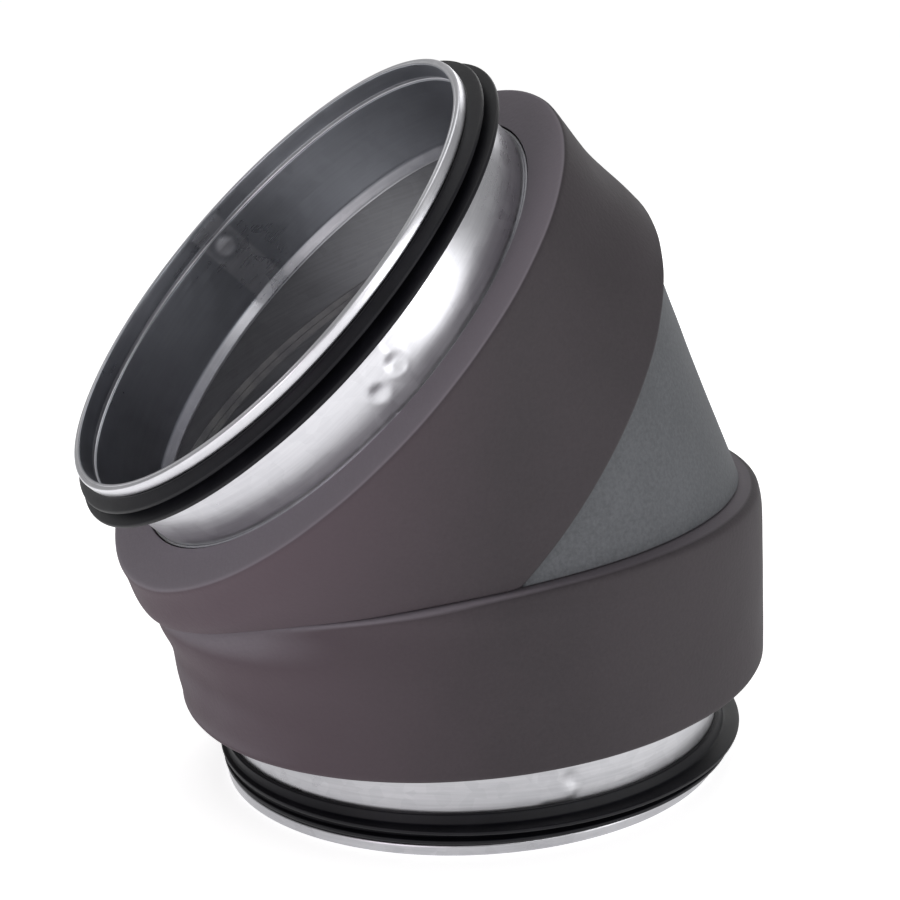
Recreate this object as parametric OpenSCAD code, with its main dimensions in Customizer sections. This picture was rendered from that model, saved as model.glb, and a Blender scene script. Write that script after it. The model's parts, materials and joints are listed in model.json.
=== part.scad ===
// Insulated round duct elbow: a three-piece steel bend with a rubber-sealed collar at each end,
// wrapped in two bands and one gore of cellular rubber.
// Frame: origin at the centre of the lower collar's open end, +Z up the lower leg,
// and the upper leg leans towards -X. Millimetres.

/* [Duct] */
// Nominal diameter of the round duct that slides over each collar
duct_d = 160; // [125:1:200]
// Angle that the elbow turns the duct through
bend_angle = 45; // [35:1:50]
// Radius of the bend along the duct's centre line
bend_r = 160; // [140:1:170]
// From the lower rim to the corner where the two leg axes cross
lower_leg = 103; // [100:1:120]
// From the upper rim to the corner where the two leg axes cross
upper_leg = 90; // [88:1:110]
// Thickness of the steel sheet
sheet_t = 0.7; // [0.5:0.1:0.9]

/* [Collars] */
// Radial play between a collar and the duct that it enters
collar_play = 0.3; // [0.2:0.1:0.6]
// Length of each collar, from its rim to its inner end
collar_len = 36; // [35:0.5:38]
// How far the folded rim stands out from the collar
rim_rise = 1.7; // [1.2:0.1:2]
// Length of the folded rim along the axis
rim_len = 3.4; // [2.5:0.1:4]
// Width of the lap where each collar's sheet closes on itself
lap_w = 9; // [6:1:14]
// Where the lap lies around the collar, from the outside of the bend
lap_az = -97; // [-180:1:180]

/* [Lip seals] */
// Width of the seal's foot along the axis
seal_w = 9.4; // [9:0.1:11]
// How far the lips stand out from the collar
lip_rise = 7.3; // [4:0.1:8]
// Width of the flat land on each lip
lip_land = 0.8; // [0.5:0.1:1.2]

/* [Insulation] */
// Thickness of the cellular rubber sheet that the two bands are cut from
band_t = 14.5; // [10:0.1:19]
// Thickness of the thinner sheet that the gore is cut from
gore_t = 9.5; // [6:0.1:10]
// Thickness of the adhesive film under the insulation
adhesive_t = 0.3; // [0.2:0.05:0.4]
// Distance from the lower rim to the lower band
lower_band_start = 31; // [30:0.5:34]
// Tilt of the lower band's bottom edge, higher on the outside of the bend
lower_start_tilt = 2.4; // [0:0.1:2.5]
// Height of the lower band's top edge at the axis
lower_band_end = 85.5; // [82:0.5:90]
// Tilt of the lower band's top edge, higher on the outside of the bend
lower_end_tilt = 3; // [0:0.1:4]
// Height at the axis of the cut on the inside of the bend, where the bands meet
throat_cut = 92.1; // [92:0.1:103]
// Tilt of that cut, lower on the inside of the bend
throat_tilt = 13.7; // [13.5:0.1:22.5]
// Distance from the upper rim to the upper band
upper_band_start = 30.1; // [29:0.1:34]
// Distance from the upper rim to the upper band's far edge at the axis
upper_band_end = 83.2; // [76:0.1:84]
// Tilt of the upper band's far edge, nearer to the rim on the outside of the bend
upper_end_tilt = 6; // [0:0.5:8]
// Thickness of the glue line where each band's two ends meet
glue_t = 0.6; // [0.4:0.1:1]
// Where the glue line lies around the leg, from the outside of the bend
glue_az = 100; // [60:1:150]

/* [Hidden] */
$fn = 96;

// Three-piece bend: each end piece is mitred by a quarter of the bend angle.
half_bend = bend_angle / 2;
mitre_tilt = bend_angle / 4;
gore_half_len = bend_r * tan(mitre_tilt);
corner_to_mitre = bend_r * tan(half_bend) - gore_half_len;
lower_mitre = lower_leg - corner_to_mitre;
upper_mitre = upper_leg - corner_to_mitre;
gore_len = 2 * gore_half_len;
// Size of the cutting shapes, and how far the cut-out for the duct runs past both rims
reach = 2 * duct_d;
rim_margin = 20;
// Neighbouring cut-outs run into each other by this much, so that they join into one
mitre_lap = 0.1;
flange_lap = 0.2;

// Collar
collar_or = duct_d / 2 - collar_play;
collar_ir = collar_or - sheet_t;
rim_or = collar_or + rim_rise;
rim_edge_r = 0.8;
ridge_pos = 6.3;
ridge_w = 2.4;
ridge_rise = 0.6;
lap_rise = 0.25;
lap_start = 13.4;

// Lip seal
seal_play = 0.05;
seal_start = rim_len + 0.1;
seal_end = seal_start + seal_w;
foot_ir = collar_or + seal_play;
foot_or = collar_or + 1.5;
lip_or = collar_or + lip_rise;
lip_lean = 1.7;
lip_root = 1.8;
lip_pitch = 3.8;

// Bend pieces, slipped over the collars
joint_play = 0.1;
seg_ir = collar_or + joint_play;
seg_or = seg_ir + sheet_t;
seg_start = 30.5;
flange_or = seg_or + 4;

// Sealant
sealant_t = 0.25;
mitre_sealant_w = 2.2;
sealant_gap = 0.1;
fillet_len = 1.6;

// Insulation
foam_ir = seg_or + adhesive_t;
band_or = foam_ir + band_t;
gore_or = foam_ir + gore_t;
flange_play = 0.3;
part_line = 0.25;
film_inset = 3;

// ---- Placing -------------------------------------------------------------------------------

module on_upper_leg() {
    translate([0, 0, lower_leg]) rotate([0, -bend_angle, 0]) children();
}

// Measured from the upper rim inwards, so that both ends share their modules
module from_upper_rim() {
    on_upper_leg() translate([0, 0, upper_leg]) mirror([0, 0, 1]) children();
}

module on_gore() {
    translate([0, 0, lower_mitre]) rotate([0, -half_bend, 0]) children();
}

// All space below a plane that crosses the axis at height and rises towards +X
module below(height, tilt) {
    translate([0, 0, height]) rotate([0, -tilt, 0])
        translate([-reach, -reach, -2 * reach]) cube(2 * reach);
}

module above(height, tilt) {
    translate([0, 0, height]) rotate([0, -tilt, 0])
        translate([-reach, -reach, 0]) cube(2 * reach);
}

module long_rod(r) {
    translate([0, 0, -reach / 2]) cylinder(r = r, h = 2 * reach);
}

// ---- Barrels of the bend ---------------------------------------------------------------------

module end_barrel(r, start, mitre) {
    intersection() {
        translate([0, 0, start]) cylinder(r = r, h = reach);
        below(mitre, mitre_tilt);
    }
}

module gore_barrel(r, lap = 0) {
    intersection() {
        translate([0, 0, -reach / 2]) cylinder(r = r, h = reach + gore_len);
        above(-lap, -mitre_tilt);
        below(gore_len + lap, mitre_tilt);
    }
}

// The whole bend as one solid of radius r, open past both rims
module bend_solid(r) {
    union() {
        end_barrel(r, -rim_margin, lower_mitre + mitre_lap);
        on_gore() gore_barrel(r, mitre_lap);
        from_upper_rim() end_barrel(r, -rim_margin, upper_mitre + mitre_lap);
    }
}

module end_flange_room(r, slab, mitre) {
    intersection() {
        end_barrel(r, 0, mitre + flange_lap);
        above(mitre - slab, mitre_tilt);
    }
}

// Room for the standing seam flanges at both mitres
module seam_room(grow) {
    slab = sheet_t + grow;
    r = flange_or + grow;
    end_flange_room(r, slab, lower_mitre);
    on_gore() intersection() {
        gore_barrel(r, flange_lap);
        union() {
            below(slab, -mitre_tilt);
            above(gore_len - slab, mitre_tilt);
        }
    }
    from_upper_rim() end_flange_room(r, slab, upper_mitre);
}

// ---- Steel -----------------------------------------------------------------------------------

module collar_section() {
    difference() {
        union() {
            translate([collar_ir, 0]) square([sheet_t, collar_len]);
            translate([collar_ir, 0]) square([rim_or - collar_ir - rim_edge_r, rim_len]);
            translate([collar_ir, rim_edge_r])
                square([rim_or - collar_ir, rim_len - 2 * rim_edge_r]);
            for (y = [rim_edge_r, rim_len - rim_edge_r])
                translate([rim_or - rim_edge_r, y]) circle(r = rim_edge_r);
            translate([collar_or - 0.1, ridge_pos - ridge_w / 2])
                square([ridge_rise + 0.1, ridge_w]);
        }
        translate([collar_ir - 1, ridge_pos - ridge_w / 2 + sheet_t])
            square([1 + ridge_rise, ridge_w - 2 * sheet_t]);
    }
}

module collar() {
    rotate_extrude() collar_section();
    intersection() {
        difference() {
            cylinder(r = collar_or + lap_rise, h = collar_len - 1);
            translate([0, 0, -1]) cylinder(r = collar_or - 0.3, h = collar_len + 2);
        }
        rotate([0, 0, lap_az]) translate([0, -lap_w / 2, lap_start])
            cube([duct_d, lap_w, collar_len - 1 - lap_start]);
    }
}

module end_segment(mitre) {
    difference() {
        union() {
            end_barrel(seg_or, seg_start, mitre);
            intersection() {
                end_barrel(flange_or, seg_start, mitre);
                above(mitre - sheet_t, mitre_tilt);
            }
        }
        long_rod(seg_ir);
    }
}

module middle_segment() {
    difference() {
        union() {
            gore_barrel(seg_or);
            intersection() {
                gore_barrel(flange_or);
                union() {
                    below(sheet_t, -mitre_tilt);
                    above(gore_len - sheet_t, mitre_tilt);
                }
            }
        }
        long_rod(seg_ir);
    }
}

// ---- Rubber and sealant ----------------------------------------------------------------------

module lip_section(y) {
    polygon([
        [foot_or - 0.5, y], [foot_or, y], [lip_or, y + lip_lean],
        [lip_or, y + lip_lean + lip_land], [foot_or, y + lip_root], [foot_or - 0.5, y + lip_root],
    ]);
}

module lip_seal() {
    rotate_extrude() difference() {
        union() {
            translate([foot_ir, seal_start]) square([foot_or - foot_ir, seal_w]);
            lip_section(seal_start + 0.3);
            lip_section(seal_start + 0.3 + lip_pitch);
        }
        translate([foot_ir - 1, ridge_pos - ridge_w / 2 - seal_play])
            square([1 + ridge_rise, ridge_w + 2 * seal_play]);
    }
}

// Fillet of sealant in the step at the collar's inner end
module collar_sealant() {
    rotate_extrude() polygon([
        [collar_ir + 0.1, collar_len], [seg_ir, collar_len], [seg_ir, collar_len + fillet_len],
    ]);
}

// Two strips of sealant along the inside of a mitre, one on each piece that meets there
module mitre_sealant(mitre) {
    difference() {
        intersection() {
            end_barrel(seg_ir, 0, mitre - sealant_gap);
            above(mitre - mitre_sealant_w, mitre_tilt);
        }
        long_rod(seg_ir - sealant_t);
    }
    translate([0, 0, mitre]) rotate([0, -half_bend, 0]) difference() {
        intersection() {
            gore_barrel(seg_ir, -sealant_gap);
            below(mitre_sealant_w, -mitre_tilt);
        }
        long_rod(seg_ir - sealant_t);
    }
}

// ---- Insulation ------------------------------------------------------------------------------

// The space that the lower band fills, duct included
module lower_wrap(grow = 0) {
    intersection() {
        long_rod(band_or + grow);
        above(lower_band_start - grow, lower_start_tilt);
        below(lower_band_end + grow, lower_end_tilt);
        below(throat_cut + grow, throat_tilt);
    }
}

module upper_wrap(grow = 0) {
    from_upper_rim() intersection() {
        long_rod(band_or + grow);
        above(upper_band_start - grow, 0);
        below(upper_band_end + grow, -upper_end_tilt);
    }
}

// The wedge between the two bands, open towards the outside of the bend
module gore_wedge(shrink) {
    intersection() {
        above(lower_band_end + shrink, lower_end_tilt);
        from_upper_rim() above(upper_band_end + shrink, -upper_end_tilt);
    }
}

module glue_slot() {
    rotate([0, 0, glue_az]) translate([0, -glue_t / 2, -reach / 2])
        cube([reach, glue_t, 2 * reach]);
}

module duct_room() {
    bend_solid(foam_ir);
    seam_room(flange_play);
}

module film(grow) {
    difference() {
        bend_solid(foam_ir - 0.02);
        bend_solid(seg_or + 0.02);
        seam_room(grow);
    }
}

// ---- Sub-parts -------------------------------------------------------------------------------

module lower_collar() { color("gainsboro") collar(); }
module upper_collar() { color("gainsboro") from_upper_rim() collar(); }
module lower_lip_seal() { color("black") lip_seal(); }
module upper_lip_seal() { color("black") from_upper_rim() lip_seal(); }
module lower_segment() { color("silver") end_segment(lower_mitre); }
module gore_segment() { color("silver") on_gore() middle_segment(); }
module upper_segment() { color("silver") from_upper_rim() end_segment(upper_mitre); }
module lower_collar_sealant() { color("dimgray") collar_sealant(); }
module upper_collar_sealant() { color("dimgray") from_upper_rim() collar_sealant(); }
module lower_mitre_sealant() { color("dimgray") mitre_sealant(lower_mitre); }
module upper_mitre_sealant() { color("dimgray") from_upper_rim() mitre_sealant(upper_mitre); }

module lower_band() {
    color([0.27, 0.25, 0.26]) difference() {
        lower_wrap();
        duct_room();
        glue_slot();
    }
}

module upper_band() {
    color([0.27, 0.26, 0.27]) difference() {
        upper_wrap();
        lower_wrap(part_line);
        duct_room();
        from_upper_rim() glue_slot();
    }
}

module gore_insulation() {
    color([0.38, 0.38, 0.4]) difference() {
        intersection() {
            on_gore() long_rod(gore_or);
            gore_wedge(part_line);
        }
        duct_room();
    }
}

module lower_adhesive() {
    color("darkkhaki") intersection() {
        film(flange_play);
        lower_wrap(-film_inset);
    }
}

module upper_adhesive() {
    color("darkkhaki") difference() {
        intersection() {
            film(flange_play);
            upper_wrap(-film_inset);
        }
        lower_wrap(film_inset);
    }
}

module gore_adhesive() {
    color("darkkhaki") intersection() {
        film(flange_play);
        gore_wedge(film_inset);
    }
}

module lower_glue_line() {
    color("black") difference() {
        intersection() {
            lower_wrap();
            glue_slot();
        }
        duct_room();
    }
}

module upper_glue_line() {
    color("black") difference() {
        intersection() {
            upper_wrap();
            from_upper_rim() glue_slot();
        }
        lower_wrap(part_line);
        duct_room();
    }
}

lower_collar();
upper_collar();
lower_lip_seal();
upper_lip_seal();
lower_segment();
gore_segment();
upper_segment();
lower_collar_sealant();
upper_collar_sealant();
lower_mitre_sealant();
upper_mitre_sealant();
lower_adhesive();
gore_adhesive();
upper_adhesive();
lower_band();
gore_insulation();
upper_band();
lower_glue_line();
upper_glue_line();
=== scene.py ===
"""Looks of an insulated round duct elbow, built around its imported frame.

Two push-in collars with black lip seals stand at the ends of a mitred steel bend. Cellular rubber
wraps the bend: a band on each leg and a thinner gore between them on the outside of the bend.
Lengths are in metres and +Z is up.
"""

import json
import logging
import math
from dataclasses import dataclass
from enum import Enum
from typing import Any, Callable, Sequence

import bmesh
import bpy
from mathutils import Matrix, Vector, noise


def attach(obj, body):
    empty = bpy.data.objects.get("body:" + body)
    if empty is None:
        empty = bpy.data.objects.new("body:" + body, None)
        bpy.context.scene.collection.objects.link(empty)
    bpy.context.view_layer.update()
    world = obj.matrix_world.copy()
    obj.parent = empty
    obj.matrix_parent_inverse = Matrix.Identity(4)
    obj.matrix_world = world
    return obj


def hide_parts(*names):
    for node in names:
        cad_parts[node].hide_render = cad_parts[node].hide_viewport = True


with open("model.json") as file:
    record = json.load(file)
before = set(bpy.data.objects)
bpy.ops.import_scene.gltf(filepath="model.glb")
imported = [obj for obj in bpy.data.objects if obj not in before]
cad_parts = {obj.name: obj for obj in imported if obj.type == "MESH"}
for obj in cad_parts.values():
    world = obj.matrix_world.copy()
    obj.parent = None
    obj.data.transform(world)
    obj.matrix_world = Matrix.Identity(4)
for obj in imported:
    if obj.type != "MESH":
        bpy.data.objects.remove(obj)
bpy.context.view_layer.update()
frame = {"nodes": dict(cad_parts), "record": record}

MM = 0.001
RING_R = 80 * MM
SIDE = Vector((0.0, 1.0, 0.0))
ROOT = "root"
Colour = tuple[float, float, float]
Outline = list[tuple[float, float]]

log = logging.getLogger("elbow")


# ---- Frame ------------------------------------------------------------------------------------


@dataclass(frozen=True)
class Leg:
    """One end of the elbow, measured from its rim inwards.

    An azimuth of zero faces the outside of the bend.
    """

    rim: Vector
    inward: Vector
    heel: Vector
    length: float
    skew: float = 0.0
    skew_azimuth: float = math.radians(75)

    def at(self, radius: float, azimuth: float, depth: float) -> Vector:
        """Point at a radius and an azimuth, and at a depth from the rim.

        Args:
            radius: Distance from the leg's axis.
            azimuth: Angle from the outside of the bend.
            depth: Distance from the rim, inwards.

        Returns:
            The point in the row frame.
        """
        across = self.heel * (radius * math.cos(azimuth)) + SIDE * (radius * math.sin(azimuth))
        return self.rim + self.inward * depth + across

    def matrix(self) -> Matrix:
        """Turns a shape made round +Z from the origin into place on this leg.

        The leg's skew sets one side of a ring slightly deeper than the other.
        """
        columns = Matrix((self.heel, SIDE, self.inward)).transposed().to_4x4()
        lean = Matrix.Identity(4)
        lean[2][0] = self.skew * math.cos(self.skew_azimuth)
        lean[2][1] = self.skew * math.sin(self.skew_azimuth)
        lean[2][3] = self.skew * RING_R
        return Matrix.Translation(self.rim) @ columns @ lean

    def depth_of(self, point: Vector) -> float:
        """Distance of a point from the rim's plane, inwards."""
        return (point - self.rim).dot(self.inward)

    def offset_of(self, point: Vector) -> float:
        """Distance of a point from the leg's axis, towards the outside of the bend."""
        return (point - self.rim).dot(self.heel)


@dataclass(frozen=True)
class Bend:
    """The elbow's two legs and the gore between them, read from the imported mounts."""

    lower: Leg
    upper: Leg
    angle: float
    collar_ir: float
    corner_to_mitre: float

    @classmethod
    def from_frame(cls, centre_line_radius: float) -> "Bend":
        """Reads the legs from the mounts.

        Args:
            centre_line_radius: Radius of the bend along the duct's centre line.

        Returns:
            The bend.
        """
        mounts = {m["name"]: m for m in frame["record"]["mounts"]}
        lower_mount, upper_mount = mounts["lower_bore"], mounts["upper_bore"]
        bore_len = upper_mount["dims"]["length_mm"] * MM
        out = Vector(upper_mount["axis"])
        rim = Vector(upper_mount["pos_m"]) + out * (bore_len / 2)
        angle = math.atan2(-out.x, out.z)
        half = angle / 2
        upper_len = -rim.x / math.sin(angle)
        lower_len = rim.z - upper_len * math.cos(angle)
        heel = Vector((math.cos(angle), 0.0, math.sin(angle)))
        to_mitre = centre_line_radius * (math.tan(half) - math.tan(angle / 4))
        return cls(
            lower=Leg(Vector((0, 0, 0)), Vector((0, 0, 1)), Vector((1, 0, 0)), lower_len),
            upper=Leg(rim, -out, heel, upper_len, skew=0.015),
            angle=angle,
            collar_ir=lower_mount["dims"]["r_mm"] * MM,
            corner_to_mitre=to_mitre,
        )

    def gore(self) -> Leg:
        """The middle piece as a leg that starts at the lower mitre."""
        half = self.angle / 2
        start = Vector((0, 0, self.lower.length - self.corner_to_mitre))
        return Leg(
            rim=start,
            inward=Vector((-math.sin(half), 0, math.cos(half))),
            heel=Vector((math.cos(half), 0, math.sin(half))),
            length=2 * self.corner_to_mitre,
        )


# ---- Meshes -----------------------------------------------------------------------------------


@dataclass(frozen=True)
class Corner:
    """A corner of a closed outline.

    The radius rounds it, and cuts is the number of points on the straight edge after it.
    """

    x: float
    y: float
    radius: float = 0.0
    cuts: int = 0


def rounded(corners: Sequence[Corner], steps: int = 4) -> Outline:
    """Draws a closed outline with rounded corners.

    Args:
        corners: The corners in order.
        steps: Number of spans in each rounded corner.

    Returns:
        The outline's points.
    """
    drawn: Outline = []
    count = len(corners)
    starts: list[Outline] = []
    for index, corner in enumerate(corners):
        here = Vector((corner.x, corner.y))
        before = Vector((corners[index - 1].x, corners[index - 1].y)) - here
        after = Vector((corners[(index + 1) % count].x, corners[(index + 1) % count].y)) - here
        half = max(before.angle(after) / 2, 0.05)
        reach = min(corner.radius / math.tan(half), 0.45 * before.length, 0.45 * after.length)
        first = here + before.normalized() * reach
        last = here + after.normalized() * reach
        arc: Outline = []
        for step in range(steps + 1):
            t = step / steps
            point = first * (1 - t) ** 2 + here * (2 * t * (1 - t)) + last * t**2
            arc.append((point.x, point.y))
        starts.append(arc)
    for index, arc in enumerate(starts):
        drawn.extend(arc)
        ahead = starts[(index + 1) % count][0]
        cuts = corners[index].cuts
        for cut in range(1, cuts + 1):
            t = cut / (cuts + 1)
            drawn.append((arc[-1][0] * (1 - t) + ahead[0] * t, arc[-1][1] * (1 - t) + ahead[1] * t))
    return drawn


def soft_min(first: float, second: float, blend: float) -> float:
    """The lower of two values, with a rounded change from one to the other."""
    low = min(first, second)
    gap = abs(first - second)
    return low - blend * math.log1p(math.exp(-gap / blend))


def zero_of(rule: Callable[[float], float], first: float, second: float) -> float:
    """Finds where a nearly straight rule crosses zero.

    Args:
        rule: The function of one value.
        first: A value to start from.
        second: Another value to start from.

    Returns:
        The value at which the rule is zero.
    """
    low, high = rule(first), rule(second)
    for _ in range(6):
        if abs(high - low) < 1e-12:
            break
        first, second = second, second - high * (second - first) / (high - low)
        low, high = high, rule(second)
    return second


def tidy_mesh(mesh: bpy.types.Mesh, merge: float = 1e-7) -> None:
    """Merges doubles, points all faces outwards and shades the mesh smooth.

    Args:
        mesh: The mesh to change.
        merge: Distance under which vertices become one.
    """
    work = bmesh.new()
    work.from_mesh(mesh)
    bmesh.ops.remove_doubles(work, verts=work.verts, dist=merge)
    bmesh.ops.dissolve_degenerate(work, edges=work.edges, dist=merge)
    bmesh.ops.triangulate(work, faces=[f for f in work.faces if len(f.verts) > 4])
    bmesh.ops.recalc_face_normals(work, faces=work.faces)
    for face in work.faces:
        face.smooth = True
    work.to_mesh(mesh)
    work.free()


def add_piece(name: str, mesh: bpy.types.Mesh) -> bpy.types.Object:
    """Links a finished mesh to the scene under a piece's name."""
    mesh.name = name
    piece = bpy.data.objects.new(name, mesh)
    bpy.context.scene.collection.objects.link(piece)
    return piece


def loft(name: str, sections: Sequence[Sequence[Vector]], closed: bool) -> bpy.types.Object:
    """Joins closed sections, each with the same number of points, into one closed shape.

    Args:
        name: Name of the piece.
        sections: The sections in order.
        closed: True if the last section joins the first, False if the two get caps.

    Returns:
        The piece.
    """
    size = len(sections[0])
    points = [p for section in sections for p in section]
    faces: list[tuple[int, ...]] = []
    for index in range(len(sections) if closed else len(sections) - 1):
        near, far = index * size, ((index + 1) % len(sections)) * size
        for spot in range(size):
            ahead = (spot + 1) % size
            faces.append((near + spot, near + ahead, far + ahead, far + spot))
    if not closed:
        faces.append(tuple(range(size)))
        faces.append(tuple(range(len(points) - size, len(points))))
    mesh = bpy.data.meshes.new(name)
    mesh.from_pydata([tuple(p) for p in points], [], faces)
    tidy_mesh(mesh)
    return add_piece(name, mesh)


# ---- Geometry Nodes ---------------------------------------------------------------------------


class NodeMaker:
    """Adds nodes to a tree, for shapes and for materials alike."""

    tree: bpy.types.NodeTree

    def node(
        self,
        kind: str,
        settings: dict[str, Any] | None = None,
        inputs: dict[str | int, Any] | None = None,
    ) -> bpy.types.Node:
        """Adds a node.

        Args:
            kind: The node's type.
            settings: Properties set before the sockets.
            inputs: Numbers, or sockets and shader values to link, by input name or number.

        Returns:
            The node.
        """
        made = self.tree.nodes.new(kind)
        for key, value in (settings or {}).items():
            setattr(made, key, value)
        for key, value in (inputs or {}).items():
            source = value.socket if isinstance(value, Value) else value
            if isinstance(source, bpy.types.NodeSocket):
                self.tree.links.new(source, made.inputs[key])
            else:
                made.inputs[key].default_value = source
        return made


class NodeTool(NodeMaker):
    """A Geometry Nodes tree with named inputs, used once on a base mesh and then applied."""

    def __init__(self, name: str) -> None:
        """Starts an empty tree that takes and gives geometry."""
        self.tree = bpy.data.node_groups.new(name, "GeometryNodeTree")
        self.tree.interface.new_socket(
            name="Geometry", in_out="INPUT", socket_type="NodeSocketGeometry"
        )
        self.tree.interface.new_socket(
            name="Geometry", in_out="OUTPUT", socket_type="NodeSocketGeometry"
        )
        self.identifiers: dict[str, str] = {}
        self.source = self.tree.nodes.new("NodeGroupInput")
        self.target = self.tree.nodes.new("NodeGroupOutput")

    def add_input(self, name: str, kind: str) -> None:
        """Adds a named input of a socket type to the tree."""
        socket = self.tree.interface.new_socket(name=name, in_out="INPUT", socket_type=kind)
        self.identifiers[name] = socket.identifier

    def input(self, name: str) -> bpy.types.NodeSocket:
        """The group input's socket of that name."""
        return self.source.outputs[name]

    def finish(self, geometry: bpy.types.NodeSocket) -> None:
        """Ends the tree: realises instances, sets the material and links the output."""
        smooth = self.node("GeometryNodeSetShadeSmooth", inputs={0: geometry})
        real = self.node("GeometryNodeRealizeInstances", inputs={0: smooth.outputs[0]})
        coated = self.node(
            "GeometryNodeSetMaterial", inputs={0: real.outputs[0], "Material": self.input("Finish")}
        )
        self.tree.links.new(coated.outputs[0], self.target.inputs[0])

    def run(self, name: str, base: bpy.types.Mesh, values: dict[str, Any]) -> bpy.types.Object:
        """Runs the tree on a base mesh and keeps the result as a plain mesh.

        Args:
            name: Name of the piece.
            base: The mesh that goes in.
            values: Values of the named inputs.

        Returns:
            The piece.
        """
        carrier = bpy.data.objects.new(name + ".base", base)
        modifier = carrier.modifiers.new(name, "NODES")
        modifier.node_group = self.tree
        for key, value in values.items():
            modifier[self.identifiers[key]] = value
        bpy.context.scene.collection.objects.link(carrier)
        seen = carrier.evaluated_get(bpy.context.evaluated_depsgraph_get())
        mesh = bpy.data.meshes.new_from_object(seen)
        bpy.data.objects.remove(carrier)
        tidy_mesh(mesh)
        return add_piece(name, mesh)


class RingSweep(NodeTool):
    """Sweeps a closed outline round the Z axis."""

    def __init__(self) -> None:
        """Builds the tree."""
        super().__init__("ring sweep")
        self.add_input("Radius", "NodeSocketFloat")
        self.add_input("Segments", "NodeSocketInt")
        self.add_input("Finish", "NodeSocketMaterial")
        outline = self.node("GeometryNodeMeshToCurve", inputs={0: self.source.outputs[0]})
        ring = self.node(
            "GeometryNodeCurvePrimitiveCircle",
            inputs={"Resolution": self.input("Segments"), "Radius": self.input("Radius")},
        )
        swept = self.node(
            "GeometryNodeCurveToMesh",
            inputs={"Curve": ring.outputs[0], "Profile Curve": outline.outputs[0]},
        )
        self.finish(swept.outputs[0])

    def sweep(
        self, name: str, outline: Outline, segments: int, finish: bpy.types.Material
    ) -> bpy.types.Object:
        """Makes a ring from an outline of radius and depth.

        Args:
            name: Name of the piece.
            outline: Points as radius and depth.
            segments: Number of spans round the ring.
            finish: The ring's material.

        Returns:
            The ring, standing on the origin with its depth along +Z.
        """
        middle = sum(r for r, _ in outline) / len(outline)
        base = bpy.data.meshes.new(name)
        edges = [(i, (i + 1) % len(outline)) for i in range(len(outline))]
        base.from_pydata([(r - middle, -depth, 0.0) for r, depth in outline], edges, [])
        values = {"Radius": middle, "Segments": segments, "Finish": finish}
        return self.run(name, base, values)


# ---- Shader sheets ----------------------------------------------------------------------------


class Value:
    """A shader value. Python's operators add the Math nodes."""

    def __init__(self, sheet: "Sheet", socket: bpy.types.NodeSocket) -> None:
        """Wraps an output socket of a sheet."""
        self.sheet = sheet
        self.socket = socket

    def _math(self, operation: str, first: Any, second: Any) -> "Value":
        """Adds one Math node."""
        made = self.sheet.node(
            "ShaderNodeMath", {"operation": operation}, {0: first, 1: second}
        )
        return Value(self.sheet, made.outputs[0])

    def __add__(self, other: Any) -> "Value":
        """Sum."""
        return self._math("ADD", self, other)

    __radd__ = __add__

    def __sub__(self, other: Any) -> "Value":
        """Difference."""
        return self._math("SUBTRACT", self, other)

    def __rsub__(self, other: Any) -> "Value":
        """Difference from a number."""
        return self._math("SUBTRACT", other, self)

    def __mul__(self, other: Any) -> "Value":
        """Product."""
        return self._math("MULTIPLY", self, other)

    __rmul__ = __mul__

    def __pow__(self, other: Any) -> "Value":
        """Power."""
        return self._math("POWER", self, other)

    def step(self, low: float, high: float) -> "Value":
        """Zero below low and one above high, with a smooth change between them."""
        made = self.sheet.node(
            "ShaderNodeMapRange",
            {"interpolation_type": "SMOOTHSTEP"},
            {"Value": self, "From Min": low, "From Max": high, "To Min": 0.0, "To Max": 1.0},
        )
        return Value(self.sheet, made.outputs[0])


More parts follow.
